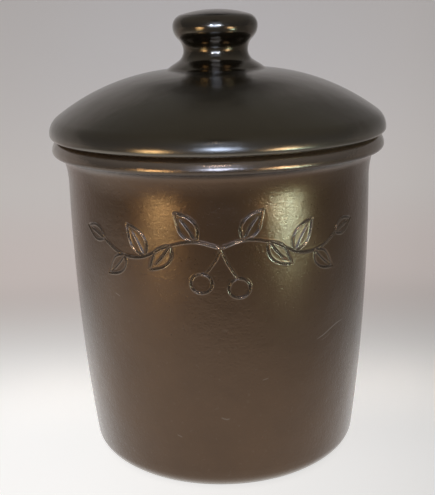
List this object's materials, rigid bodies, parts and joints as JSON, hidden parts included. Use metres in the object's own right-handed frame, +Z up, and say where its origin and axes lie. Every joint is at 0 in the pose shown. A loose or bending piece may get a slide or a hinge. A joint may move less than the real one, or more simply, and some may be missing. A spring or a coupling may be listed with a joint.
{
  "type": "rum pot",
  "caption": "Lidded stoneware crock with a rolled rim and a domed lid with a mushroom knob that lifts off, for steeping fruit in rum.",
  "frame": {"origin": "centre of the foot ring, on the plane that the pot stands on", "axes": "+Z up, along the axis that every piece is turned about; -Y to the front, the side with the incised ornament"},
  "size_m": [0.2, 0.2, 0.266],
  "materials": {
    "jar_glaze": "semi-matte dark bronze glaze with a metallic lustre",
    "lid_glaze": "semi-matte dark olive-bronze glaze with a metallic lustre"
  },
  "bodies": {
    "jar": {"jar": "jar_glaze"},
    "lid": {"lid": "lid_glaze", "knob": "lid_glaze"}
  },
  "joints": [
    {"name": "lid_lift", "type": "slide", "parent": "jar", "child": "lid", "axis": [0, 0, 1], "range_m": [0, 0.2]}
  ]
}
